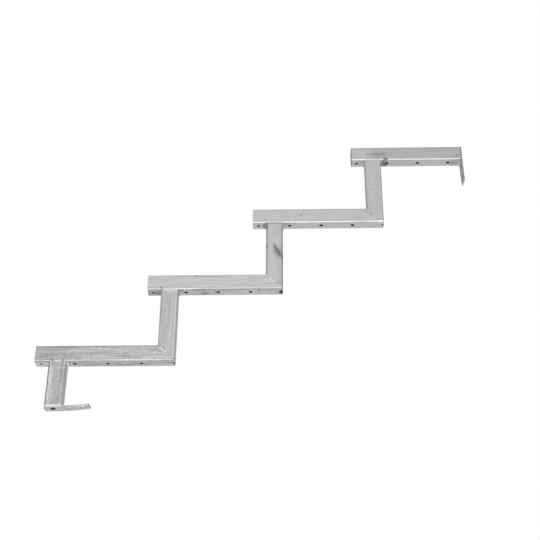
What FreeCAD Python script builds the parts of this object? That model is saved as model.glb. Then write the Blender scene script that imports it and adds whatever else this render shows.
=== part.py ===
"""Welded stair stringer of galvanised rectangular hollow section (RHS), in millimetres.

A zig-zag of step tubes and riser tubes climbs along +X, with +Z up. Each riser is mitred to the rear end
of the step below and butts under the next step, set back from its front end. A short leg stands on a
foot plate, and the top step ends in a plate for the wall. The near faces are flush, at -Y.
The origin is on the floor, midway between the foot plate's two anchor holes.
"""
import FreeCAD
import Part

import math
import os

import Sketcher
from FreeCAD import Placement, Rotation, Vector

STEP_COUNT = 4

SIZES = [
    ("tube_height", 40, "section's longer side"),
    ("tube_width", 30, "section's shorter side, across the stair"),
    ("tube_wall", 2, "wall of the hollow section"),
    ("bend_radius", 2, "inner radius of the section's corners"),
    ("rise", 187, "from one step to the next, upwards"),
    ("going", 242, "from one step to the next, forwards"),
    ("overhang", 32, "a step tube's front end, ahead of the upright below it"),
    ("top_length", 270, "top step tube, to the wall plate"),
    ("leg_length", 110, "foot plate to the underside of the first step"),
    ("screw_hole", 9, "diameter of the step boards' screw holes"),
    ("screw_first", 14, "front end to the first screw hole"),
    ("screw_pitch", 75, "screw hole to screw hole"),
    ("screw_count", 4, "screw holes in each step tube"),
    ("vent_hole", 12, "diameter of the vents where tubes and plates close each other"),
    ("drain_hole", 8, "diameter of the drain at each mitre's outer corner"),
    ("foot_length", 100, "foot plate, along the stair"),
    ("foot_width", 20, "foot plate, across the stair"),
    ("foot_thickness", 4, "foot plate"),
    ("wall_length", 100, "wall plate, upright"),
    ("wall_thickness", 4, "wall plate"),
    ("wall_drop", 2, "wall plate's upper edge, below the top of the tube"),
    ("anchor_hole", 11, "diameter of the plates' anchor holes"),
    ("anchor_pitch", 30, "anchor hole to anchor hole"),
    ("anchor_margin", 15, "last anchor hole to the plate's end"),
    ("bead_width", 6, "weld bead over a flush seam"),
    ("bead_height", 0.8, "weld bead's crown above the surface"),
    ("bead_root", 2.4, "weld bead's root below the surface"),
    ("plate_fillet", 5, "leg length of the fillet welds on the plates"),
    ("butt_fillet", 3, "leg length of the fillet welds before and behind a butted upright"),
    ("groove_depth", 1, "weld beside a butted upright, below the tubes' side"),
]

# Expressions that several pieces share
HALF = "(Sizes.tube_height / 2)"
CORNER = "(Sizes.bend_radius + Sizes.tube_wall)"
STEP_LENGTH = "(Sizes.going + Sizes.overhang + Sizes.tube_height)"
PLATE_CENTRE_TO_ANCHORS = "(Sizes.foot_length / 2 - Sizes.anchor_margin - Sizes.anchor_pitch / 2)"
LEG_FRONT = f"(-Sizes.foot_length / 2 - {PLATE_CENTRE_TO_ANCHORS})"
STEP_FRONT = f"({LEG_FRONT} - Sizes.overhang)"
TUBE_MIDDLE = "((Sizes.tube_width - Sizes.foot_width) / 2)"
FIRST_STEP_FLOOR = "(Sizes.foot_thickness + Sizes.leg_length)"

# Sketcher's own numbers for the origin and for the points of a line or arc
ORIGIN = (-1, 1)
START, END, CENTRE = range(1, 4)

# Turns about the axis across the stair: into a mitre's plane, into a square end's plane, down a mitre
ACROSS, ALONG = Vector(0, 1, 0), Vector(1, 0, 0)
IN_MITRE = Rotation(ACROSS, 45)
IN_END = Rotation(ACROSS, 90)
DOWN_MITRE = Rotation(ACROSS, 135)
TO_FAR_SIDE = Rotation(ALONG, 180)

doc = FreeCAD.newDocument("stair_stringer")
sheet = doc.addObject("Spreadsheet::Sheet", "Sizes")
for row, (alias, size, note) in enumerate(SIZES, start=1):
    sheet.set(f"A{row}", note)
    sheet.set(f"B{row}", str(size))
    sheet.setAlias(f"B{row}", alias)
doc.recompute()


def new_body(name, place=None, rotation=None):
    body = doc.addObject("PartDesign::Body", name)
    body.Label = name
    body.Placement = Placement(Vector(), rotation or Rotation())
    for axis, expression in (place or {}).items():
        body.setExpression(f"Placement.Base.{axis}", expression)
    return body


def new_sketch(body, plane, name):
    sketch = body.newObject("Sketcher::SketchObject", name)
    support = next(item for item in body.Origin.OriginFeatures if item.Role == plane)
    sketch.AttachmentSupport = [(support, "")]
    sketch.MapMode = "FlatFace"
    return sketch


def bind(sketch, kind, *where, to):
    """Add a dimension to a sketch and tie it to an expression."""
    index = sketch.addConstraint(Sketcher.Constraint(kind, *where, 1.0))
    sketch.setExpression(f"Constraints[{index}]", to)


def add_polygon(sketch, points):
    """Closed outline with corners as expressions from the origin; a corner on an axis gives None there."""
    guess = [(0 if x is None else number(x), 0 if y is None else number(y)) for x, y in points]
    lines = []
    for here, there in zip(guess, guess[1:] + guess[:1]):
        lines.append(sketch.addGeometry(Part.LineSegment(Vector(*here, 0), Vector(*there, 0)), False))
    for line, after in zip(lines, lines[1:] + lines[:1]):
        sketch.addConstraint(Sketcher.Constraint("Coincident", line, END, after, START))
    for line, (x, y) in zip(lines, points):
        place_point(sketch, line, START, x, y)


def add_rectangle(sketch, left, right, low, high):
    add_polygon(sketch, [(left, low), (right, low), (right, high), (left, high)])


def place_point(sketch, geometry, point, x, y):
    """Fix a point at x and y from the origin, or on the axis where one of them is None."""
    for kind, axis, expression in (("DistanceX", -2, x), ("DistanceY", -1, y)):
        if expression is None:
            sketch.addConstraint(Sketcher.Constraint("PointOnObject", geometry, point, axis))
        elif number(expression) < 0:
            bind(sketch, kind, geometry, point, *ORIGIN, to=f"-({expression})")
        else:
            bind(sketch, kind, *ORIGIN, geometry, point, to=expression)


def number(expression):
    """The value that an expression has with the sheet as it stands."""
    return float(sheet.evalExpression(expression.replace("Sizes.", "")))


def add_circle(sketch, diameter, x=None, y=None):
    at = Vector(number(x) if x else 0, number(y) if y else 0, 0)
    circle = sketch.addGeometry(Part.Circle(at, Vector(0, 0, 1), number(diameter) / 2), False)
    bind(sketch, "Diameter", circle, to=diameter)
    if x is None and y is None:
        sketch.addConstraint(Sketcher.Constraint("Coincident", circle, CENTRE, *ORIGIN))
    else:
        place_point(sketch, circle, CENTRE, x, y)


def add_rounded_rectangle(sketch, length, width, radius):
    """Rectangle about the origin, length along the sketch's first axis, with four round corners."""
    far_x, far_y, r = number(length) / 2, number(width) / 2, number(radius)
    in_x, in_y = far_x - r, far_y - r
    quarter = math.pi / 2
    ends = [(-in_x, -far_y), (in_x, -far_y), (far_x, -in_y), (far_x, in_y),
            (in_x, far_y), (-in_x, far_y), (-far_x, in_y), (-far_x, -in_y)]
    corners = [(in_x, -in_y), (in_x, in_y), (-in_x, in_y), (-in_x, -in_y)]
    lines, arcs = [], []
    for side, corner in enumerate(corners):
        here, there = ends[2 * side], ends[2 * side + 1]
        lines.append(sketch.addGeometry(Part.LineSegment(Vector(*here, 0), Vector(*there, 0)), False))
        circle = Part.Circle(Vector(*corner, 0), Vector(0, 0, 1), r)
        first = (side - 1) * quarter
        arcs.append(sketch.addGeometry(Part.ArcOfCircle(circle, first, first + quarter), False))
    for side in range(4):
        sketch.addConstraint(Sketcher.Constraint("Tangent", lines[side], END, arcs[side], START))
        sketch.addConstraint(Sketcher.Constraint("Tangent", arcs[side], END, lines[(side + 1) % 4], START))
        sketch.addConstraint(Sketcher.Constraint("Vertical" if side % 2 else "Horizontal", lines[side]))
    for arc in arcs[1:]:
        sketch.addConstraint(Sketcher.Constraint("Equal", arcs[0], arc))
    sketch.addConstraint(Sketcher.Constraint("Symmetric", arcs[0], CENTRE, arcs[2], CENTRE, *ORIGIN))
    bind(sketch, "Radius", arcs[0], to=radius)
    bind(sketch, "DistanceX", lines[3], START, lines[1], START, to=length)
    bind(sketch, "DistanceY", lines[0], START, lines[2], START, to=width)


def add_feature(body, kind, name, sketch, length=None, both_ways=False, reverse=False):
    """Pad or pocket of a sketch. A pocket with no length goes right through."""
    feature = body.newObject(f"PartDesign::{kind}", name)
    feature.Profile = sketch
    if length:
        feature.setExpression("Length", length)
    else:
        feature.Type = "ThroughAll"
    feature.SideType = "Symmetric" if both_ways else "One side"
    feature.Reversed = reverse
    return feature


def add_tube_section(sketch, first, second, filled):
    """Section of the tube, with its sides along the sketch's axes; filled leaves the hollow out."""
    add_rounded_rectangle(sketch, first, second, CORNER)
    if not filled:
        hollow = [f"({side} - 2 * Sizes.tube_wall)" for side in (first, second)]
        add_rounded_rectangle(sketch, *hollow, "Sizes.bend_radius")


def add_mitre(body, name, corners):
    sketch = new_sketch(body, "XZ_Plane", name)
    add_polygon(sketch, corners)
    add_feature(body, "Pocket", f"{name}_cut", sketch, both_ways=True)


def add_drain(body, name, corner_x, corner_z):
    """Round hole along the mitre, through the outer corner of the two tubes."""
    drain = body.newObject("PartDesign::SubtractiveCylinder", name)
    drain.Placement = Placement(Vector(), DOWN_MITRE)
    drain.setExpression("Radius", "Sizes.drain_hole / 2")
    drain.setExpression("Height", "Sizes.tube_height")
    drain.setExpression("Placement.Base.x", f"{corner_x} - Sizes.tube_height / 4")
    drain.setExpression("Placement.Base.z", f"{corner_z} + Sizes.tube_height / 4")


def add_holes(body, name, plane, diameter, places, both_ways=True):
    sketch = new_sketch(body, plane, name)
    for x, y in places:
        add_circle(sketch, diameter, x, y)
    return add_feature(body, "Pocket", f"{name}_cut", sketch, both_ways=both_ways)


def make_step(name, place, length, mitred, filled=False):
    """Step tube along +X from its front end, about its centre line."""
    body = new_body(name, place)
    section = new_sketch(body, "YZ_Plane", f"{name}_section")
    add_tube_section(section, "Sizes.tube_width", "Sizes.tube_height", filled)
    add_feature(body, "Pad", f"{name}_tube", section, length)
    spare = "Sizes.tube_wall"
    if mitred:
        add_mitre(body, f"{name}_mitre", [
            (f"{length} - Sizes.tube_height - {spare}", f"{HALF} + {spare}"),
            (f"{length} + {spare}", f"{HALF} + {spare}"),
            (f"{length} + {spare}", f"-{HALF} - {spare}")])
    if filled:
        return body
    if mitred:
        add_drain(body, f"{name}_drain", length, f"-{HALF}")
    add_holes(body, f"{name}_vent", "XY_Plane", "Sizes.vent_hole",
              [(f"Sizes.overhang + {HALF}", None)], both_ways=False)
    screw = add_holes(body, f"{name}_screw", "XY_Plane", "Sizes.screw_hole", [("Sizes.screw_first", None)])
    row = body.newObject("PartDesign::LinearPattern", f"{name}_screw_row")
    row.Originals = [screw]
    row.Direction = (next(item for item in body.Origin.OriginFeatures if item.Role == "X_Axis"), [""])
    row.Mode = "Spacing"
    row.setExpression("Offset", "Sizes.screw_pitch")
    row.setExpression("Occurrences", "Sizes.screw_count")
    body.Tip = row
    return body


def make_upright(name, place, length, mitred, filled=False):
    """Upright tube along +Z from its lower end, about its centre line."""
    body = new_body(name, place)
    section = new_sketch(body, "XY_Plane", f"{name}_section")
    add_tube_section(section, "Sizes.tube_height", "Sizes.tube_width", filled)
    add_feature(body, "Pad", f"{name}_tube", section, length)
    spare = "Sizes.tube_wall"
    if mitred:
        add_mitre(body, f"{name}_mitre", [
            (f"-{HALF} - {spare}", f"Sizes.tube_height + {spare}"),
            (f"-{HALF} - {spare}", f"-{spare}"),
            (f"{HALF} + {spare}", f"-{spare}")])
    if mitred and not filled:
        add_drain(body, f"{name}_drain", HALF, "0")
    return body


def make_plate(name, place, plane, first, second, thickness, vent, anchors):
    """Flat bar about its middle, with one vent hole and a row of anchor holes."""
    body = new_body(name, place)
    outline = new_sketch(body, plane, f"{name}_outline")
    add_rectangle(outline, f"-{first} / 2", f"{first} / 2", f"-{second} / 2", f"{second} / 2")
    add_feature(body, "Pad", f"{name}_bar", outline, thickness)
    add_holes(body, f"{name}_vent", plane, "Sizes.vent_hole", [vent])
    add_holes(body, f"{name}_anchor", plane, "Sizes.anchor_hole", anchors)
    return body


def make_under_weld(name, place):
    """Weld of an upright's top end to a step tube: fillets before and behind, grooves beside it."""
    body = new_body(name, place)
    leg = "Sizes.butt_fillet"
    outline = new_sketch(body, "XZ_Plane", f"{name}_outline")
    add_polygon(outline, [(f"-{HALF} - {leg}", f"-{HALF}"), (f"-{HALF}", f"-{HALF} - {leg}"),
                          (HALF, f"-{HALF} - {leg}"), (f"{HALF} + {leg}", f"-{HALF}"),
                          (HALF, f"-{HALF} + {CORNER}"), (f"-{HALF}", f"-{HALF} + {CORNER}")])
    add_feature(body, "Pad", f"{name}_metal", outline,
                "(Sizes.tube_width - 2 * Sizes.groove_depth)", both_ways=True)
    step = new_sketch(body, "YZ_Plane", f"{name}_step")
    add_tube_section(step, "Sizes.tube_width", "Sizes.tube_height", filled=True)
    add_feature(body, "Pocket", f"{name}_step_seat", step, both_ways=True)
    upright = new_sketch(body, "XY_Plane", f"{name}_upright")
    upright.setExpression("AttachmentOffset.Base.z", f"-{HALF}")
    add_tube_section(upright, "Sizes.tube_height", "Sizes.tube_width", filled=True)
    add_feature(body, "Pocket", f"{name}_upright_seat", upright)
    return body


def make_bead(name, place, rotation, length, corner):
    """Bead round a tube's joint: a ridged strip along a rounded rectangle in the joint's plane."""
    body = new_body(name, place, rotation)
    seam = new_sketch(body, "XY_Plane", f"{name}_seam")
    add_rounded_rectangle(seam, length, "Sizes.tube_width", corner)
    profile = new_sketch(body, "YZ_Plane", f"{name}_profile")
    surface, edge = "-Sizes.tube_width / 2", "Sizes.bead_width / 2"
    root, ridge = f"{surface} + Sizes.bead_root", f"{surface} - Sizes.bead_height"
    add_polygon(profile, [(root, edge), (surface, edge), (ridge, None),
                          (surface, f"-{edge}"), (root, f"-{edge}")])
    doc.recompute()
    bead = body.newObject("PartDesign::AdditivePipe", f"{name}_bead")
    bead.Profile = profile
    bead.Spine = (seam, [f"Edge{index + 1}" for index in range(len(seam.Shape.Edges))])
    return body


def add_corner_fillet(body, name, corners):
    """Fillet across the flat of a tube's side, with its section given beside the joint."""
    sketch = new_sketch(body, "XZ_Plane", name)
    add_polygon(sketch, corners)
    add_feature(body, "Pad", f"{name}_metal", sketch, f"(Sizes.tube_width - 2 * {CORNER})", both_ways=True)


def trim(name, weld, *pieces):
    """Cut the welded pieces out of a weld, so that it lies on them face to face."""
    for count, piece in enumerate(pieces, start=1):
        cut = doc.addObject("Part::Cut", f"{name}_trim_{count}")
        cut.Base, cut.Tool = weld, piece
        weld = cut
    weld.Label = name
    return weld


def make_mitre_weld(name, place, far):
    """Crowned bead along a mitre, over the flat of its near or far side; the edges are dressed flush."""
    body = new_body(name, place, IN_MITRE.multiply(TO_FAR_SIDE) if far else IN_MITRE)
    section = new_sketch(body, "YZ_Plane", f"{name}_section")
    high, edge, surface = "Sizes.bead_height", "Sizes.bead_width / 2", "-Sizes.tube_width / 2"
    centre = f"{surface} - {high} + (({edge}) ^ 2 + {high} ^ 2) / (2 * {high})"
    ends = [Vector(number(surface), side * number(edge), 0) for side in (1, -1)]
    crown = Vector(number(f"{surface} - {high}"), 0, 0)
    arc = section.addGeometry(Part.ArcOfCircle(ends[0], crown, ends[1]), False)
    chord = section.addGeometry(Part.LineSegment(*reversed(ends)), False)
    section.addConstraint(Sketcher.Constraint("Coincident", arc, END, chord, START))
    section.addConstraint(Sketcher.Constraint("Coincident", chord, END, arc, START))
    section.addConstraint(Sketcher.Constraint("Vertical", chord))
    place_point(section, arc, CENTRE, centre, None)
    place_point(section, chord, END, surface, edge)
    flat = f"((Sizes.tube_height - 2 * {CORNER}) * sqrt(2))"
    add_feature(body, "Pad", f"{name}_metal", section, flat, both_ways=True)
    return body


def make_wall_weld(name, place, step, plate):
    """Weld round the top step's rear end, dressed flush above, where the board lies."""
    body = make_bead(f"{name}_ring", place, IN_END, "Sizes.tube_height", CORNER)
    leg, outside = "Sizes.plate_fillet", "Sizes.tube_width"
    add_corner_fillet(body, f"{name}_under", [(HALF, None), (f"{HALF} + {leg}", None), (HALF, f"-{leg}")])
    above = new_sketch(body, "XY_Plane", f"{name}_above")
    add_rectangle(above, f"-2 * {HALF}", f"-{HALF}", f"-{outside}", outside)
    add_feature(body, "Pocket", f"{name}_above_cut", above, both_ways=True)
    return trim(name, body, step, plate)


def make_foot_weld(name, place, leg_tube, plate):
    """Weld round the leg's lower end, as far as the narrower foot plate reaches under it."""
    body = make_bead(f"{name}_ring", place, Rotation(), "Sizes.tube_height", CORNER)
    leg, side = "Sizes.plate_fillet", "Sizes.tube_height"
    add_corner_fillet(body, f"{name}_behind", [(HALF, None), (f"{HALF} + {leg}", None), (HALF, leg)])
    beyond = new_sketch(body, "XY_Plane", f"{name}_beyond")
    add_rectangle(beyond, f"-{side}", side, "Sizes.foot_width - Sizes.tube_width / 2", "Sizes.tube_width")
    add_feature(body, "Pocket", f"{name}_beyond_cut", beyond, both_ways=True)
    return trim(name, body, leg_tube, plate)


def build_foot():
    """Foot plate, leg and the weld between them."""
    last_anchor = "(Sizes.foot_length / 2 - Sizes.anchor_margin)"
    plate = make_plate("foot_plate", {"x": f"-{PLATE_CENTRE_TO_ANCHORS}"}, "XY_Plane",
                       "Sizes.foot_length", "Sizes.foot_width", "Sizes.foot_thickness",
                       vent=(f"-Sizes.foot_length / 2 + {HALF}", None),
                       anchors=[(last_anchor, None), (f"{last_anchor} - Sizes.anchor_pitch", None)])
    place = {"x": f"{LEG_FRONT} + {HALF}", "y": TUBE_MIDDLE, "z": "Sizes.foot_thickness"}
    leg = make_upright("leg_tube", place, "Sizes.leg_length", mitred=False)
    core = make_upright("leg_core", place, "Sizes.leg_length", mitred=False, filled=True)
    return [plate, leg, make_foot_weld("foot_weld", place, core, plate)]


def build_wall_end(place, top, core):
    """Plate on the top step's rear end, hung from just below the tube's upper side, and its weld."""
    first_anchor = "(-Sizes.wall_length / 2 + Sizes.anchor_margin)"
    middle = f"{top} - Sizes.wall_drop - Sizes.wall_length / 2"
    plate = make_plate("wall_plate", {**place, "z": middle}, "YZ_Plane",
                       "Sizes.tube_width", "Sizes.wall_length", "Sizes.wall_thickness",
                       vent=(None, f"Sizes.wall_length / 2 + Sizes.wall_drop - {HALF}"),
                       anchors=[(None, first_anchor), (None, f"{first_anchor} + Sizes.anchor_pitch")])
    return [plate, make_wall_weld("wall_weld", place, core, plate)]


def build_riser(ordinal, place, floor):
    """Riser on the rear end of a step, with the two welds of their mitre."""
    riser = make_upright(f"riser_tube_{ordinal}", {**place, "z": floor}, "Sizes.rise", mitred=True)
    near = make_mitre_weld(f"mitre_weld_{ordinal}_near", place, far=False)
    return [riser, near, make_mitre_weld(f"mitre_weld_{ordinal}_far", place, far=True)]


def build_step(ordinal):
    """One step tube, the weld that holds it on the upright below, and what stands on its rear end."""
    top = ordinal == STEP_COUNT
    length = "Sizes.top_length" if top else STEP_LENGTH
    front = f"({STEP_FRONT} + {ordinal - 1} * Sizes.going)"
    floor = f"({FIRST_STEP_FLOOR} + {ordinal - 1} * Sizes.rise)"
    axis = {"y": TUBE_MIDDLE, "z": f"{floor} + {HALF}"}
    place = {**axis, "x": front}
    step = make_step(f"step_tube_{ordinal}", place, length, mitred=not top)
    under = {**axis, "x": f"{front} + Sizes.overhang + {HALF}"}
    weld = make_under_weld("leg_weld" if ordinal == 1 else f"riser_weld_{ordinal - 1}", under)
    if top:
        core = make_step("step_core", place, length, mitred=False, filled=True)
        rear = build_wall_end({**axis, "x": f"{front} + {length}"}, f"{floor} + Sizes.tube_height", core)
    else:
        rear = build_riser(ordinal, {**axis, "x": f"{front} + {length} - {HALF}"}, floor)
    return [step, weld, *rear]


def check(pieces):
    for item in doc.Objects:
        if {"Invalid", "Error"} & set(item.State):
            raise RuntimeError(f"{item.Label} did not build: {item.State}")
    for piece in pieces:
        if piece.Shape.isNull() or not piece.Shape.isValid() or not piece.Shape.Solids:
            raise RuntimeError(f"{piece.Label} is not a valid solid")


all_pieces = build_foot()
for ordinal in range(1, STEP_COUNT + 1):
    all_pieces += build_step(ordinal)
doc.recompute()
check(all_pieces)
os.makedirs("parts", exist_ok=True)
for piece in all_pieces:
    piece.Shape.exportStep(os.path.join("parts", f"{piece.Label}.step"))
    print(f"{piece.Label}: {len(piece.Shape.Solids)} solid, {piece.Shape.Volume:.0f} mm3")
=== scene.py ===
import math

import bmesh
import bpy
from mathutils import Matrix, Vector, noise


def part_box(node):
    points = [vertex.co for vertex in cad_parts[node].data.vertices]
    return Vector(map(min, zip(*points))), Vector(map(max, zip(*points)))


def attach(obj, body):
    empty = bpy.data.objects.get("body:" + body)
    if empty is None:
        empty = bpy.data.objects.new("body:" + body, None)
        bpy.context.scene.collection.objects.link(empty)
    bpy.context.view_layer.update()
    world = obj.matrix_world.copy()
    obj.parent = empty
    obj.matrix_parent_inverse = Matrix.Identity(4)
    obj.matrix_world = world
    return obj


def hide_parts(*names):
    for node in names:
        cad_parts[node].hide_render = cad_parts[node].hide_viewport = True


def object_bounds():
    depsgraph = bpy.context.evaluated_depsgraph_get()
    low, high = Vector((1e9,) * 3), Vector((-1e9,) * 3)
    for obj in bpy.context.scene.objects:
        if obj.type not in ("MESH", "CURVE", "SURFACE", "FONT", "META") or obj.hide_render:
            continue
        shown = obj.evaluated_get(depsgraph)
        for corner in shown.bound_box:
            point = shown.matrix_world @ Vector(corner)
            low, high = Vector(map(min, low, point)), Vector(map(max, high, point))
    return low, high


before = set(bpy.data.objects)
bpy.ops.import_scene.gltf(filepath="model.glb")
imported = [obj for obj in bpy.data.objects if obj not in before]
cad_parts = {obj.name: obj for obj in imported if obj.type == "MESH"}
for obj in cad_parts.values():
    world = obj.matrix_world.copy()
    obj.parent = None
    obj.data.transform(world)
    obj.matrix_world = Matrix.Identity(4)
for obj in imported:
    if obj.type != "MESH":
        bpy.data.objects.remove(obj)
cadBox = [list(corner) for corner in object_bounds()]
print("frame loaded with", len(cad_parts), "nodes")

mm = 0.001


def hexToLinear(code):
    channels = [int(code[i:i + 2], 16) / 255 for i in (1, 3, 5)]
    linear = [c / 12.92 if c <= 0.04045 else ((c + 0.055) / 1.055) ** 2.4 for c in channels]
    return (*linear, 1.0)


def addNode(tree, kind, settings=None, links=None):  # keys are properties, socket names or socket numbers
    node = tree.nodes.new(kind)
    for key, value in (settings or {}).items():
        if isinstance(key, str) and hasattr(node, key):
            setattr(node, key, value)
        else:
            node.inputs[key].default_value = value
    for key, source in (links or {}).items():
        tree.links.new(source, node.inputs[key])
    return node


def addRamp(tree, source, stops):
    ramp = addNode(tree, "ShaderNodeValToRGB", {}, {"Fac": source})
    elements = ramp.color_ramp.elements
    while len(elements) < len(stops):
        elements.new(1.0)
    for element, (position, colour) in zip(elements, stops):
        element.position = position
        element.color = colour
    return ramp.outputs["Color"]


def addRange(tree, value, source, target, kind="LINEAR"):
    spread = addNode(tree, "ShaderNodeMapRange",
                     {"interpolation_type": kind, "From Min": source[0], "From Max": source[1],
                      "To Min": target[0], "To Max": target[1]}, {"Value": value})
    return spread.outputs["Result"]


def addScale(tree, base, factor):
    scaled = addNode(tree, "ShaderNodeVectorMath", {"operation": "SCALE"}, {0: base, "Scale": factor})
    return scaled.outputs["Vector"]


def addMesh(name, points, faces, smooth=False):
    mesh = bpy.data.meshes.new(name)
    mesh.from_pydata(points, [], faces)
    mesh.polygons.foreach_set("use_smooth", [smooth] * len(faces))
    piece = bpy.data.objects.new(name, mesh)
    bpy.context.scene.collection.objects.link(piece)
    return piece


# Zinc skin from the galvanising bath, with painted shade and painted highlights
zinc = {
    "metallic": 0.8,
    "contrast": (0.42, 0.58),  # noise values of the dull and the pale tone
    "relief": 0.25,            # mm, height of streaks and grain
    "bump": 0.5,
    "detail": (3.0, 4.0),      # octaves of streaks and stains, and of grain
    "sheenSpan": (0.35, 0.65),  # grain values of the least and the most roughness
    "patchFade": (0.4, 1.15),  # share of a patch's reach where it starts to fade and is gone
    # painted shade in holes, nooks and inside the tubes, from ambient occlusion
    "paintedNookShadeSamples": 8,
    "paintedNookShade": (0.03, 0.35),      # share of open sky: full painted shade and none
    "paintedNookShadeReach": 40.0,         # mm
    "paintedNookShadeTone": 0.7,
    "ragged": 5.0,             # mm, how far the edge of a stain or painted patch wanders
    "raggedGrain": 7.0,        # mm
}
looks = {                      # streak across and along, and grain, in mm: coarser than life, to show
    "mottled": {"streak": (7.0, 80.0), "grain": 4.5, "share": 0.5, "roughness": (0.42, 0.56), "relief": 0.5},
    "streaked": {"streak": (5.0, 70.0), "grain": 4.5, "share": 0.42, "roughness": (0.42, 0.56),
                 "relief": 0.45},
    "combed": {"streak": (4.0, 75.0), "grain": 5.0, "share": 0.36, "roughness": (0.40, 0.52), "relief": 0.4},
    "smooth": {"streak": (9.0, 160.0), "grain": 30.0, "share": 0.5, "roughness": (0.42, 0.47),
               "relief": 0.15},
    "bead": {"streak": (2.5, 5.0), "grain": 3.0, "share": 0.5, "roughness": (0.30, 0.42), "relief": 0.6},
}
finishes = {                   # look, dull and pale tone, streaks' axis, then painted light tones: lit near side, edge shade, edge highlight, rim highlight
    "step_tube_1": ("streaked", "#a6a6a6", "#c5c5c5", 0, 1.12, 0.70, 1.55, 1.0),
    "step_tube_2": ("combed", "#afafaf", "#c0c0c0", 0, 1.28, 0.90, 1.32, 1.0),
    "step_tube_3": ("smooth", "#b9b9b9", "#c2c2c2", 0, 1.15, 0.95, 1.6, 1.0),
    "step_tube_4": ("smooth", "#b7b7b7", "#c0c0c0", 0, 1.06, 0.98, 1.65, 1.0),
    "leg_tube": ("mottled", "#a7a7a7", "#c8c8c8", 2, 1.11, 0.46, 1.0, 1.55),
    "riser_tube_1": ("combed", "#b1b1b1", "#c0c0c0", 2, 1.11, 0.88, 1.3, 1.35),
    "riser_tube_2": ("smooth", "#b5b5b5", "#bebebe", 2, 1.17, 0.52, 1.0, 1.6),
    "riser_tube_3": ("smooth", "#b5b5b5", "#bebebe", 2, 1.16, 0.90, 1.4, 1.0),
    "foot_plate": ("mottled", "#acacac", "#cacaca", 0, 1.32, 1.0, 1.0, 1.0),
    "wall_plate": ("smooth", "#979797", "#a3a3a3", 2, 1.0, 1.0, 1.0, 1.0),
    # weld tones: pale weld zinc, raised further as a painted highlight on the ridges
    "weld": ("bead", "#d0d0d0", "#f0f0f0", 1, 1.0, 1.0, 1.0, 1.0),
}
paintedLitNearSide = (-10.0, -9.0)       # mm, the flat of the near side, where its painted light is full, and where it has turned away
paintedEdgeLight = {                  # start, middle and end in mm from the lowest corner, by axis of the tube
    0: {"paintedHighlight": (0.0, 1.4, 3.6), "paintedEdgeShade": (35.0, 37.8, 40.0)},  # painted highlight along the lower edge, painted shade along the top edge
    # uprights: painted highlight on the left rim and the right edge, painted shade just inside the left edge
    2: {"paintedRimHighlight": (0.0, 0.8, 1.5), "paintedEdgeShade": (1.5, 3.2, 4.8), "paintedHighlight": (34.0, 38.5, 40.0)},
}
edgeSpan = 40.0                # mm
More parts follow.
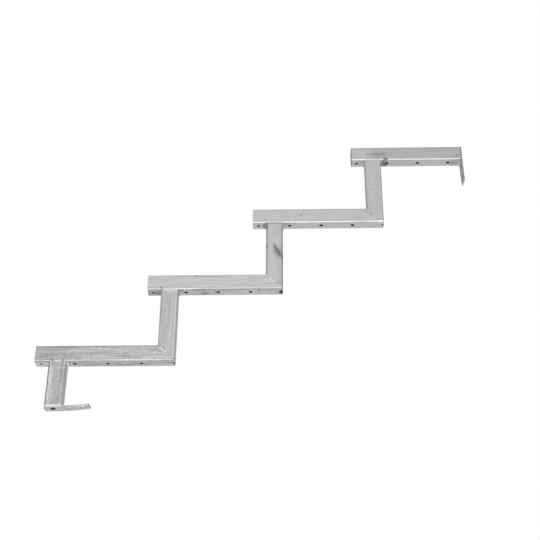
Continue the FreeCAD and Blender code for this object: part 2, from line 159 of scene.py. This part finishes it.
stainsAndPaintedLight = {                     # real stains and marks, and patches of painted shade and painted highlight: place from the lowest corner and reach in mm, lean in degrees, tone left
    # step 1: painted shade in lines under the lower edge's highlight and at the leg's joint, painted light
    # under the left end, the highlight dimmed near the right end; the rest darker or paler patches
    "step_tube_1": (((188, 16, 0), (14, 12, 4), 0, 0.85), ((118, 0, 27), (70, 6, 7), -1, 1.12),
                    ((20, 0, 12), (24, 6, 12), 0, 0.92), ((10, 16, 0), (24, 16, 4), 0, 1.35),
                    ((13, 2.5, 0.8), (18, 2.4, 2.2), 0, 0.72), ((110, 2.5, 0.8), (34, 2.4, 2.2), 0, 0.82),
                    ((38, 0, 2.5), (2.5, 5, 4), 0, 0.6), ((66, 0, 2), (3, 5, 3.5), 0, 0.6),
                    ((28.5, 0, 6.5), (2.5, 4, 2.5), 0, 0.65), ((304, 0.5, 1.5), (26, 4, 3), 0, 0.84),
                    ((45, 0, 20), (80, 6, 40), 0, 0.9), ((275, 0, 20), (60, 6, 40), 0, 1.07)),
    # step 2: painted shade in lines under the lower edge's highlight, by riser 1's joint, in the drain hole
    # and under the left end, a painted highlight on the lower edge, painted light under the right part; the
    # rest darker patches
    "step_tube_2": (((113, 0, 37), (8, 6, 3), 0, 0.72), ((33, 0, 4), (3, 4, 5.5), -45, 0.55),
                    ((310, 15, 0), (7, 9, 2.5), 0, 0.05), ((132, 19, 0), (12, 8, 4), 0, 0.65),
                    ((149, 0, 5), (11, 5, 2.5), 0, 0.85), ((28, 16, 0), (10, 14, 4), 0, 0.65),
                    ((14, 16, 0), (26, 16, 4), 0, 0.82), ((130, 2.5, 0.8), (28, 2.4, 2.2), 0, 0.75),
                    ((250, 2.5, 0.8), (190, 2.4, 2.2), 0, 0.8), ((78, 6, 0), (9, 5, 4), 0, 0.72),
                    ((118, 6, 0), (20, 5, 4), 0, 0.78), ((157, 12, 0), (4, 9, 4), 0, 0.76),
                    ((259, 10, 0), (5, 10, 4), 0, 0.82), ((235, 18, 0), (80, 20, 4), 0, 1.1),
                    ((85, 0.6, 1.4), (44, 3, 3), 0, 1.16), ((60, 0, 20), (75, 6, 40), 0, 0.94)),
    # step 3: painted shade at riser 2's joint and in lines under the lower edge's highlight, the painted
    # highlight moved lower and flaring at the right end; the v-shaped and other marks are stains
    "step_tube_3": (((116, 0, 21), (4, 5, 4), 0, 0.72), ((121, 0, 33), (7, 5, 3), -20, 0.85),
                    ((31, 0, 11), (2.2, 5, 5), -20, 0.72), ((31, 15, 0), (9, 16, 4), 0, 0.5),
                    ((79, 14, 0), (6, 14, 4), 0, 0.8),
                    ((283.5, 0, 22), (2, 5, 8), -28, 0.62), ((289, 0, 22), (1.8, 5, 6), 25, 0.82),
                    ((88, 5.5, 0.4), (28, 2.8, 2.2), 0, 0.66), ((160, 0.4, 3.8), (240, 4, 1.6), 0, 0.85),
                    ((160, 2.6, 0.4), (240, 2.6, 1.8), 0, 1.22), ((302, 0, 8), (9, 5, 2.2), 0, 0.78),
                    ((307, 1, 2.5), (6, 4, 3), 0, 1.3), ((273, 0, 32), (3, 5, 3), -45, 0.72),
                    ((262, 2.5, 0.8), (22, 2.4, 2.2), 0, 0.72)),
    # step 4: painted shade in the open left end and round the drip; a smear, spots and darker or paler
    # patches
    "step_tube_4": (((66, 0, 14), (34, 6, 10), 0, 0.84), ((68, 0, 20), (44, 5, 6), -2, 0.83),
                    ((210, 0, 27), (50, 6, 7), -1, 0.92),
                    ((81, 16, 0), (10, 16, 4), 0, 0.38), ((139, 0, 20), (5, 5, 4), 0, 0.85),
                    ((262, 0, 10), (4.5, 5, 4), 0, 0.7), ((270, 0, 20), (3, 5, 24), 0, 0.85),
                    ((0, 14, 20), (3, 24, 40), 0, 0.36), ((18, 0, 20), (40, 6, 40), 0, 1.1),
                    ((252, 16, 0), (12, 12, 4), 0, 0.72), ((84.5, 1, 2), (6.5, 6, 6), 0, 0.45)),
    # leg: painted highlight along the left edge and on the right face near its top; darker patches
    "leg_tube": (((7, 0, 55), (1.9, 5, 70), 0, 1.2), ((6.4, 0, 78), (2.2, 5, 22), 0, 1.15),
                 ((30, 0, 50), (8, 5, 75), 0, 0.86),
                 ((38, 14, 100), (5, 22, 18), 0, 1.3), ((18, 0, 8), (24, 5, 10), 0, 0.92),
                 ((14, 0, 104), (16, 5, 9), 0, 0.93)),
    # riser 1: a painted highlight across its top, painted shade at its top left corner
    "riser_tube_1": (((32, 0, 95), (10, 6, 120), 0, 1.07), ((21, 0, 184), (21, 6, 5.5), 0, 1.28),
                     ((3.5, 0, 184), (2.2, 5, 4), 30, 0.7)),
    # riser 2: a smudge and spots, painted shade in the line under the highlight and at its top left corner
    "riser_tube_2": (((27.5, 0, 107), (5.5, 8, 27), -28, 0.5), ((26, 0, 99), (10, 8, 21), -20, 0.68),
                     ((36, 0, 107), (6, 8, 17), 0, 0.8), ((39.5, 0, 84), (3, 8, 18), 0, 0.45),
                     ((2, 0, 117), (2.5, 6, 4), 0, 0.6),
                     ((34, 0, 95), (12, 6, 120), 0, 0.97), ((33, 0, 17), (3.5, 5, 2.2), 30, 0.72),
                     ((38, 0, 23), (2.2, 5, 4), 0, 0.7), ((20, 0, 184), (26, 6, 2), 0, 0.72),
                     ((2, 2, 178), (4, 8, 13), 0, 0.6)),
    "mitre_weld_1_near": (((23, 0, 13), (10, 8, 10), 0, 0.76),),
    "mitre_weld_2_near": (((25, 0, 11), (11, 8, 11), 0, 0.72),),
    # riser 2's weld: painted shade that dims the highlight across the joint
    "riser_weld_2": (((23, 2, 5), (30, 6, 9), 0, 0.72),),
    "riser_tube_3": (((15, 0, 96), (6, 5, 3), 0, 0.74), ((2, 0, 44), (2, 5, 4), 0, 0.7)),
    "foot_plate": (((100, 10, 4), (3, 24, 8), 0, 0.8),),
    # wall plate: painted light on its lower end face
    "wall_plate": (((4, 31, 0), (3.2, 20, 1.4), 0, 2.4),),
    # leg weld: painted shade in two notches along its front run
    "leg_weld": (((11.5, 0, 4), (5, 8, 8), 0, 0.5), ((35.5, 0, 4), (4.5, 8, 8), 0, 0.5),
                 ((45, 6, 1), (5, 14, 8), 0, 0.95)),
}
paintedScrewRimHighlights = {                  # painted highlight on the far rim of each screw hole, where its bore faces the light
    "first": 14.0,             # mm from the front end
    "pitch": 75.0,             # mm
    "count": 4,
    "spot": ((18.4, 1.0), (3.6, 2.0, 2.6), 0, 2.2),  # place across and up, then reach, lean and tone
}


def listStainsAndPaintedLight(name):
    spots = list(stainsAndPaintedLight.get(name, ()))
    if name.startswith("step_tube"):
        (across, up), *rest = paintedScrewRimHighlights["spot"]
        for i in range(paintedScrewRimHighlights["count"]):
            spots.append(((paintedScrewRimHighlights["first"] + paintedScrewRimHighlights["pitch"] * i, across, up), *rest))
    return spots


def addStainsAndPaintedLight(tree, coords, base, name):
    wander = addNode(tree, "ShaderNodeTexNoise",
                     {"Scale": 1 / (zinc["raggedGrain"] * mm), "Detail": zinc["detail"][0]},
                     {"Vector": coords})
    centred = addNode(tree, "ShaderNodeVectorMath", {"operation": "SUBTRACT", 1: (0.5, 0.5, 0.5)},
                      {0: wander.outputs["Color"]})
    reach = addNode(tree, "ShaderNodeVectorMath", {"operation": "SCALE", "Scale": zinc["ragged"] * mm},
                    {0: centred.outputs["Vector"]})
    ragged = addNode(tree, "ShaderNodeVectorMath", {"operation": "ADD"},
                     {0: coords, 1: reach.outputs["Vector"]})
    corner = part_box(name)[0]
    for place, size, lean, tone in listStainsAndPaintedLight(name):
        patch = addNode(tree, "ShaderNodeMapping",
                        {"vector_type": "TEXTURE", "Location": Vector(corner) + Vector(place) * mm,
                         "Rotation": (0, math.radians(lean), 0), "Scale": Vector(size) * mm},
                        {"Vector": ragged.outputs["Vector"]})
        away = addNode(tree, "ShaderNodeVectorMath", {"operation": "LENGTH"}, {0: patch.outputs["Vector"]})
        fade = addRange(tree, away.outputs["Value"], zinc["patchFade"], (tone, 1.0), "SMOOTHSTEP")
        base = addScale(tree, base, fade)
    return base


def makeZinc(name, finish, patchedPart=None):
    # neutral grey satin skin: soft streaks the way the bath ran off, painted shade in nooks and inside the
    # tubes, a painted lit near side, painted highlights and shade along the edges, and stains mixed with
    # painted shade and highlights
    lookName, dull, pale, along, near, paintedEdgeShade, paintedHighlight, paintedRimHighlight = finish
    look = looks[lookName]
    material = bpy.data.materials.new(name)
    material.use_nodes = True
    tree = material.node_tree
    shader = tree.nodes["Principled BSDF"]
    shader.inputs["Metallic"].default_value = zinc["metallic"]
    coords = addNode(tree, "ShaderNodeTexCoord").outputs["Object"]
    across, length = look["streak"]
    stretch = [1 / (across * mm)] * 3
    stretch[along] = 1 / (length * mm)
    spread = addNode(tree, "ShaderNodeMapping", {"Scale": stretch}, {"Vector": coords})
    streakDetail, grainDetail = zinc["detail"]
    streak = addNode(tree, "ShaderNodeTexNoise", {"Scale": 1.0, "Detail": streakDetail},
                     {"Vector": spread.outputs["Vector"]}).outputs["Fac"]
    grain = addNode(tree, "ShaderNodeTexNoise", {"Scale": 1 / (look["grain"] * mm), "Detail": grainDetail},
                    {"Vector": coords}).outputs["Fac"]
    cloud = addNode(tree, "ShaderNodeMix", {"data_type": "FLOAT", 0: look["share"]}, {2: streak, 3: grain})
    toneStops = list(zip(zinc["contrast"], (hexToLinear(dull), hexToLinear(pale))))
    tones = addRamp(tree, cloud.outputs[0], toneStops)
    depth = addNode(tree, "ShaderNodeSeparateXYZ", {}, {"Vector": coords})
    # painted light: the near side is made paler by the near tone
    facing = addRange(tree, depth.outputs["Y"], [y * mm for y in paintedLitNearSide], (near, 1.0))
    base = addScale(tree, tones, facing)
    if patchedPart:
        base = addStainsAndPaintedLight(tree, coords, base, patchedPart)
    # painted highlights and painted shade in lines along the tubes' edges
    if along in paintedEdgeLight and patchedPart:
        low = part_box(patchedPart)[0]
        start, axis = (low.x, "X") if along == 2 else (low.z, "Z")
        within = addRange(tree, depth.outputs[axis], (start, start + edgeSpan * mm), (0.0, 1.0))
        paintedEdgeStops = []
        for kind, places in paintedEdgeLight[along].items():
            tone = {"paintedHighlight": paintedHighlight, "paintedEdgeShade": paintedEdgeShade, "paintedRimHighlight": paintedRimHighlight}[kind]
            for place, value in zip(places, (1.0, tone, 1.0)):
                paintedEdgeStops.append((place / edgeSpan, (value, value, value, 1.0)))
        base = addScale(tree, base, addRamp(tree, within, sorted(paintedEdgeStops)))
    # painted shade: base colour darkened where little open sky is near, in holes, nooks and inside the tubes
    sky = addNode(tree, "ShaderNodeAmbientOcclusion",
                  {"samples": zinc["paintedNookShadeSamples"], "only_local": True, "Distance": zinc["paintedNookShadeReach"] * mm})
    paintedNookShade = addRange(tree, sky.outputs["AO"], zinc["paintedNookShade"], (zinc["paintedNookShadeTone"], 1.0))
    tree.links.new(addScale(tree, base, paintedNookShade), shader.inputs["Base Color"])
    sheen = addRange(tree, grain, zinc["sheenSpan"], look["roughness"])
    tree.links.new(sheen, shader.inputs["Roughness"])
    bump = addNode(tree, "ShaderNodeBump",
                   {"Strength": zinc["bump"], "Distance": zinc["relief"] * look["relief"] * mm},
                   {"Height": cloud.outputs[0]})
    tree.links.new(bump.outputs["Normal"], shader.inputs["Normal"])
    return material


weldZinc = makeZinc("hot-dip galvanised weld metal", finishes["weld"])  # paler and livelier than the tubes, as weld zinc is and as a painted highlight on its ridges
for name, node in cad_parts.items():
    node.data.materials.clear()
    if name in finishes:
        node.data.materials.append(makeZinc(f"hot-dip galvanised steel, {name}", finishes[name], name))
    elif name in stainsAndPaintedLight:
        node.data.materials.append(makeZinc(f"hot-dip galvanised weld metal, {name}", finishes["weld"], name))
    else:
        node.data.materials.append(weldZinc)
print("zinc on every node")

# Plates that the heat of welding has pulled out of true
pulls = {                      # axis along, start and end in mm, axis and mm of the pull, mm out of square
    "foot_plate": (0, 40.0, 100.0, 2, 4.5, 1.4),
    "wall_plate": (2, 62.0, 0.0, 0, 1.1, 0.0),
}
pullCuts = 8                   # cuts across a plate, so that it bends smoothly


def pullPlate(name, along, start, end, sideways, amount, skew):
    piece = bpy.data.objects.new(f"{name}_pulled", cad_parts[name].data.copy())
    bpy.context.scene.collection.objects.link(piece)
    shape = bmesh.new()
    shape.from_mesh(piece.data)
    normal = Vector((0, 0, 0))
    normal[along] = 1
    corner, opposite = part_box(name)
    centre = (corner + opposite) / 2
    for i in range(pullCuts):
        cut = corner + normal * (start + (end - start) * i / pullCuts) * mm
        bmesh.ops.bisect_plane(shape, geom=shape.verts[:] + shape.edges[:] + shape.faces[:], plane_co=cut,
                               plane_no=normal)
    for vertex in shape.verts:
        share = max(0, ((vertex.co - corner)[along] / mm - start) / (end - start))
        across = (vertex.co.y - centre.y) / (opposite.y - centre.y)
        vertex.co[sideways] += amount * share ** 2 * mm
        vertex.co[along] += skew * across * share ** 2 * mm
    shape.to_mesh(piece.data)
    shape.free()
    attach(piece, "root")
    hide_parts(name)


for name, pull in pulls.items():
    pullPlate(name, *pull)
print("plates pulled by their welds")

# Weld beads, laid as runs of overlapping ripples
bead = {
    "step": 0.7,               # mm between two rows of points
    "across": 8,               # faces across a bead
    "pitch": 2.2,              # mm from ripple to ripple
    "ripple": 0.22,            # share of the height that a ripple takes
    "uneven": 0.25,            # share by which width and height wander
    "wander": 7.0,             # mm
    "sag": 0.5,                # share of the pitch by which a ripple's middle leads its ends
    "endTaper": (0.05, 6),     # least share of the width at an end, and how late the taper sets in
}
mitreRuns = {                  # start and end as shares of the mitre, width and height in mm, dressed flush
    1: ((0.08, 0.36, 6.2, 1.9, False), (0.37, 0.72, 5.4, 0.3, False), (0.0, 1.0, 5.0, 0.05, True)),
    2: ((0.0, 1.0, 5.0, 0.05, True), (0.13, 0.44, 3.0, 0.8, False), (0.5, 0.84, 2.2, 0.3, False)),
    3: ((0.0, 1.0, 5.0, 0.05, True),),
}
underRuns = {                  # front run: mm behind the side, width, height; fillets: width in mm, dressed
    "riser": ((1.6, 5.0, 0.9), 5.0, True),
    "leg": ((0.9, 6.5, 1.0), 7.0, False),
}


def beadRun(start, end, facing, width, height, root):
    start, end, facing = Vector(start), Vector(end), Vector(facing).normalized()
    along = (end - start).normalized()
    across = along.cross(facing)
    length = (end - start).length
    rows = math.ceil(length / bead["step"])
    leastTaper, lateness = bead["endTaper"]
    points = []
    for i in range(rows + 1):
        run = length * i / rows
        middle = start + along * run
        swell = 1 + bead["uneven"] * noise.noise(middle / bead["wander"])
        taper = math.sqrt(max(leastTaper, 1 - (2 * i / rows - 1) ** lateness))
        row = [(-1, -root)]
        for j in range(bead["across"] + 1):
            side = 2 * j / bead["across"] - 1
            ripple = (run / bead["pitch"] + bead["sag"] * side ** 2) % 1
            row.append((side, height * (1 - side ** 2) * (1 - bead["ripple"] * ripple)))
        row.append((1, -root))
        size = swell * taper
        points += [(middle + across * (side * width / 2 * size) + facing * (rise * size)) * mm
                   for side, rise in row]
    span = bead["across"] + 3
    faces = [(i * span + j, i * span + j + 1, (i + 1) * span + j + 1, (i + 1) * span + j)
             for i in range(rows) for j in range(span - 1)]
    faces += [tuple(range(span)), tuple(range(rows * span + span - 1, rows * span - 1, -1))]
    return points, faces


def layBeads(name, runs, dressed=(), tube=None):  # dressed runs have the look of the tube
    points, faces, skins = [], [], []
    for skin, run in [(0, run) for run in runs] + [(1, run) for run in dressed]:
        newPoints, newFaces = beadRun(*run)
        faces += [tuple(len(points) + corner for corner in face) for face in newFaces]
        points += newPoints
        skins += [skin] * len(newFaces)
    piece = addMesh(f"{name}_bead", points, faces, smooth=True)
    for skin in (name, tube) if tube else (name,):
        piece.data.materials.append(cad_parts[skin].data.materials[0])
    piece.data.polygons.foreach_set("material_index", skins)
    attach(piece, "root")
    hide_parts(name)


def boxMm(name):
    return [Vector(corner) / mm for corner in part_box(name)]


mitre = {"inner": 2.0, "outer": 2.5, "root": 0.8}  # mm, clear of both corners, and depth of the root


def layMitre(ordinal):
    riserLow, riserHigh = boxMm(f"riser_tube_{ordinal}")
    stepHigh = boxMm(f"step_tube_{ordinal}")[1]
    for side, y, facing in (("near", riserLow.y, -1), ("far", riserHigh.y, 1)):
        inner = Vector((riserLow.x + mitre["inner"], y, stepHigh.z - mitre["inner"]))
        outer = Vector((riserHigh.x - mitre["outer"], y, riserLow.z + mitre["outer"]))
        runs = {False: [], True: []}
        for start, end, width, height, dressed in mitreRuns[ordinal]:
            ends = inner.lerp(outer, start), inner.lerp(outer, end)
            runs[dressed].append((*ends, (0, facing, 0), width, height, mitre["root"]))
        layBeads(f"mitre_weld_{ordinal}_{side}", runs[False], runs[True], f"step_tube_{ordinal}")


underWeld = {                  # mm
    "endGap": 1.0,
    "frontRise": 0.6,          # middle of a front run above the step's underside
    "frontTilt": -0.3,         # how far a front run faces down
    "frontRoot": 3.0,
    "filletOut": 0.8,          # middle of a fillet out from the upright, and down
    "filletHeight": 0.8,
    "filletRoot": 1.5,
}


def layUnderWeld(name, upright, step, front, fillet, dressed):
    low, high = boxMm(upright)
    under = boxMm(step)[0].z
    gap, out = underWeld["endGap"], underWeld["filletOut"]
    depth, width, height = front
    runs, fillets = [], []
    for y, facing in ((low.y + depth, -1), (high.y - depth, 1)):
        ends = [(x, y, under + underWeld["frontRise"]) for x in (low.x + gap, high.x - gap)]
        runs.append((*ends, (0, facing, underWeld["frontTilt"]), width, height, underWeld["frontRoot"]))
    for x, facing in ((low.x, -1), (high.x, 1)):
        ends = [(x + facing * out, y, under - out) for y in (low.y + gap, high.y - gap)]
        fillets.append((*ends, (facing, 0, -1), fillet, underWeld["filletHeight"], underWeld["filletRoot"]))
    if dressed:
        layBeads(name, runs, fillets, step)
    else:
        layBeads(name, runs + fillets)


footWeld = {                   # mm
    "endGap": 1.0,
    "sink": 0.1,               # middle of a run behind the face that it lies on
    "bead": (6.0, 0.8, 0.8),   # width, height and root
    "filletOut": 1.0,
    "fillet": (6.0, 0.8, 1.5),
}


def layFootWeld():
    low, high = boxMm("leg_tube")
    plate = boxMm("foot_plate")[1]
    gap, sink, out = footWeld["endGap"], footWeld["sink"], footWeld["filletOut"]
    near = [(x, low.y + sink, plate.z) for x in (low.x + gap, high.x - gap)]
    front = [(low.x + sink, y, plate.z) for y in (low.y + gap, plate.y - gap)]
    back = [(high.x + out, y, plate.z + out) for y in (low.y + gap, plate.y - gap)]
    layBeads("foot_weld", [(*near, (0, -1, 0), *footWeld["bead"]), (*front, (-1, 0, 0), *footWeld["bead"]),
                           (*back, (1, 0, 1), *footWeld["fillet"])])


wallWeld = {                   # mm
    "ends": (2.0, 4.0),        # clear of the lower and the upper corner
    "sink": 0.1,
    "far": (5.0, 0.8, 0.8),    # width, height and root
    "near": (5.0, 0.2, 0.8),
    "filletOut": 2.0,
    "fillet": (9.0, 0.5, 3.0),
}


def layWallWeld():
    low, high = boxMm("step_tube_4")
    x = boxMm("wall_plate")[0].x
    lower, upper = wallWeld["ends"]
    sink, out = wallWeld["sink"], wallWeld["filletOut"]
    heights = low.z + lower, high.z - upper
    far = [(x, high.y - sink, z) for z in heights]
    near = [(x, low.y + sink, z) for z in heights]
    below = [(x - out, y, low.z - out) for y in (low.y + lower, high.y - lower)]
    layBeads("wall_weld", [(*far, (0, 1, 0), *wallWeld["far"])],
             [(*below, (-1, 0, -1), *wallWeld["fillet"]), (*near, (0, -1, 0), *wallWeld["near"])],
             "step_tube_4")


for ordinal in (1, 2, 3):
    layMitre(ordinal)
    layUnderWeld(f"riser_weld_{ordinal}", f"riser_tube_{ordinal}", f"step_tube_{ordinal + 1}",
                 *underRuns["riser"])
layUnderWeld("leg_weld", "leg_tube", "step_tube_1", *underRuns["leg"])
layFootWeld()
layWallWeld()
print("weld beads laid")

# Drip of zinc that set on the lower edge of the top step
drip = {
    "place": (84.5, 2.0, 2.2),  # mm from the step's lowest corner
    "reach": (4.4, 2.6, 4.4),   # mm
    "finish": ("smooth", "#989898", "#a4a4a4", 1, 1.0, 1.0, 1.0, 1.0),
    "faces": (20, 12),
}


def makeDrip():
    centre = boxMm("step_tube_4")[0] + Vector(drip["place"])
    around, rings = drip["faces"]
    shape = bmesh.new()
    bmesh.ops.create_uvsphere(shape, u_segments=around, v_segments=rings, radius=1.0)
    bmesh.ops.scale(shape, vec=Vector(drip["reach"]) * mm, verts=shape.verts)
    bmesh.ops.translate(shape, vec=centre * mm, verts=shape.verts)
    piece = addMesh("zinc_drip", [], [])
    shape.to_mesh(piece.data)
    shape.free()
    piece.data.polygons.foreach_set("use_smooth", [True] * len(piece.data.polygons))
    piece.data.materials.append(makeZinc("dull zinc drip", drip["finish"]))  # a shade darker than the step
    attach(piece, "root")


makeDrip()
print("zinc drip set")

# Floor, white surround and soft light
studio = {
    "floorDrop": 0.5 * mm,     # keeps the floor off the foot plate's underside
    "floorSize": 240.0,        # m, so that its edge stays out of a low view
    "floorTone": "#eeeeec",
    "floorRoughness": 0.9,
    "floorGlow": 0.4,          # lifts the floor towards the white surround, for the lens alone
    "ambient": 0.5,
    "lamps": {                 # place in m, aim in m, size in m, watts, seen in reflections
        "softboxByLens": ((0.4, -2.2, -1.3), (0.4, 0.0, 0.36), (3.0, 1.6), 14.0, True),
        "frontAbove": ((0.4, -2.2, 1.9), (0.4, 0.0, 0.36), (2.5, 1.5), 8.0, False),
        "backAbove": ((0.6, 2.0, 1.8), (0.4, 0.0, 0.36), (2.5, 1.5), 8.0, False),
    },
    "flagReach": 3.2,          # m from the middle of the part
    "flagFaces": 24,           # faces each way
    "flagFade": 0.8,           # share of the reach at which a flag has its back tone
    "flags": {                 # degrees round from behind, degrees above level, tone at sides and back
        "canopy": ((-115, 150), (8, 115), (0.4, 0.72)),   # draws the edges of the tubes
        "underneath": ((-70, 70), (-100, -66), (0.35, 0.35)),  # draws the line below the lit edge
    },
}
middle = (Vector(cadBox[0]) + Vector(cadBox[1])) / 2


def makeFloor():
    half = studio["floorSize"] / 2
    corners = [(middle.x + a * half, middle.y + b * half, -studio["floorDrop"])
               for a, b in ((-1, -1), (1, -1), (1, 1), (-1, 1))]
    floor = addMesh("floor", corners, [(0, 1, 2, 3)])
    material = bpy.data.materials.new("matt pale floor")
    material.use_nodes = True  # takes the shadow when seen from above, and isn't there from below
    tree = material.node_tree
    shader = tree.nodes["Principled BSDF"]
    shader.inputs["Base Color"].default_value = hexToLinear(studio["floorTone"])
    shader.inputs["Roughness"].default_value = studio["floorRoughness"]
    ray = addNode(tree, "ShaderNodeLightPath")
    glow = addNode(tree, "ShaderNodeMath", {"operation": "MULTIPLY", 1: studio["floorGlow"]},
                   {0: ray.outputs["Is Camera Ray"]})
    shader.inputs["Emission Color"].default_value = hexToLinear(studio["floorTone"])
    tree.links.new(glow.outputs[0], shader.inputs["Emission Strength"])
    side = addNode(tree, "ShaderNodeNewGeometry")
    clear = addNode(tree, "ShaderNodeBsdfTransparent")
    oneWay = addNode(tree, "ShaderNodeMixShader", {},
                     {0: side.outputs["Backfacing"], 1: shader.outputs["BSDF"], 2: clear.outputs["BSDF"]})
    tree.links.new(oneWay.outputs["Shader"], tree.nodes["Material Output"].inputs["Surface"])
    floor.data.materials.append(material)
    floor.visible_shadow = False
    floor.visible_diffuse = False
    floor.visible_glossy = False


def makeWorld():
    world = bpy.data.worlds.new("white surround")
    bpy.context.scene.world = world
    world.use_nodes = True
    tree = world.node_tree
    soft = tree.nodes["Background"]
    soft.inputs["Strength"].default_value = studio["ambient"]
    soft.inputs["Color"].default_value = (1, 1, 1, 1)
    white = addNode(tree, "ShaderNodeBackground", {"Color": (1, 1, 1, 1), "Strength": 1.0})
    ray = addNode(tree, "ShaderNodeLightPath")
    seen = addNode(tree, "ShaderNodeMath", {"operation": "MAXIMUM"},
                   {0: ray.outputs["Is Camera Ray"], 1: ray.outputs["Is Glossy Ray"]})
    shown = addNode(tree, "ShaderNodeMath", {"operation": "MAXIMUM"},
                    {0: seen.outputs[0], 1: ray.outputs["Is Transmission Ray"]})
    mix = addNode(tree, "ShaderNodeMixShader", {},
                  {0: shown.outputs[0], 1: soft.outputs[0], 2: white.outputs[0]})
    tree.links.new(mix.outputs[0], tree.nodes["World Output"].inputs["Surface"])


def makeFlag(name, turns, rises, tones):
    steps = studio["flagFaces"]
    low, high = (math.radians(a) for a in rises)
    left, right = (math.radians(a) for a in turns)
    points = []
    for i in range(steps + 1):
        rise = low + (high - low) * i / steps
        for j in range(steps + 1):
            turn = left + (right - left) * j / steps
            way = Vector((math.sin(turn) * math.cos(rise), math.cos(turn) * math.cos(rise), math.sin(rise)))
            points.append(middle + way * studio["flagReach"])
    row = steps + 1
    faces = [(i * row + j, i * row + j + 1, (i + 1) * row + j + 1, (i + 1) * row + j)
             for i in range(steps) for j in range(steps)]
    flag = addMesh(name, points, faces)
    material = bpy.data.materials.new(f"grey flag cloth, {name}")
    material.use_nodes = True  # grey that only reflections see, paler towards the back
    tree = material.node_tree
    place = addNode(tree, "ShaderNodeSeparateXYZ", {},
                    {"Vector": addNode(tree, "ShaderNodeTexCoord").outputs["Object"]})
    fade = (0.0, studio["flagFade"] * studio["flagReach"])
    glow = addNode(tree, "ShaderNodeEmission", {},
                   {"Strength": addRange(tree, place.outputs["Y"], fade, tones)})
    tree.links.new(glow.outputs["Emission"], tree.nodes["Material Output"].inputs["Surface"])
    flag.data.materials.append(material)
    flag.visible_camera = False
    flag.visible_diffuse = False
    flag.visible_shadow = False
    flag.visible_transmission = False


def makeLamps():
    for name, (place, aim, size, watts, reflected) in studio["lamps"].items():
        data = bpy.data.lights.new(name, "AREA")
        data.shape = "RECTANGLE"
        data.size, data.size_y = size
        data.energy = watts
        lamp = bpy.data.objects.new(name, data)
        lamp.location = place
        lamp.rotation_euler = (Vector(aim) - Vector(place)).to_track_quat("-Z", "Y").to_euler()
        lamp.visible_camera = False
        lamp.visible_glossy = reflected
        bpy.context.scene.collection.objects.link(lamp)


makeFloor()
makeWorld()
for name, flag in studio["flags"].items():
    makeFlag(name, *flag)
makeLamps()
print("floor, surround and lamps in place")

# Camera, below the part and looking up at it
lens = {
    "place": (483.65, -2391.08, -1214.31),   # mm
    "heading": 1.435,                        # degrees to the left of +Y
    "climb": 33.326,                         # degrees above level
    "roll": 0.251,
    "sensor": 36.0,                          # mm
    "focal": 81.48,                          # mm
}
cameraData = bpy.data.cameras.new("lens")
cameraData.sensor_width = lens["sensor"]
cameraData.lens = lens["focal"]
camera = bpy.data.objects.new("camera", cameraData)
camera.matrix_world = (Matrix.Translation(Vector(lens["place"]) * mm)
                       @ Matrix.Rotation(math.radians(lens["heading"]), 4, "Z")
                       @ Matrix.Rotation(math.radians(90 + lens["climb"]), 4, "X")
                       @ Matrix.Rotation(math.radians(lens["roll"]), 4, "Z"))
bpy.context.scene.collection.objects.link(camera)
bpy.context.scene.camera = camera
bpy.context.scene.view_settings.view_transform = "Standard"
print("camera set")
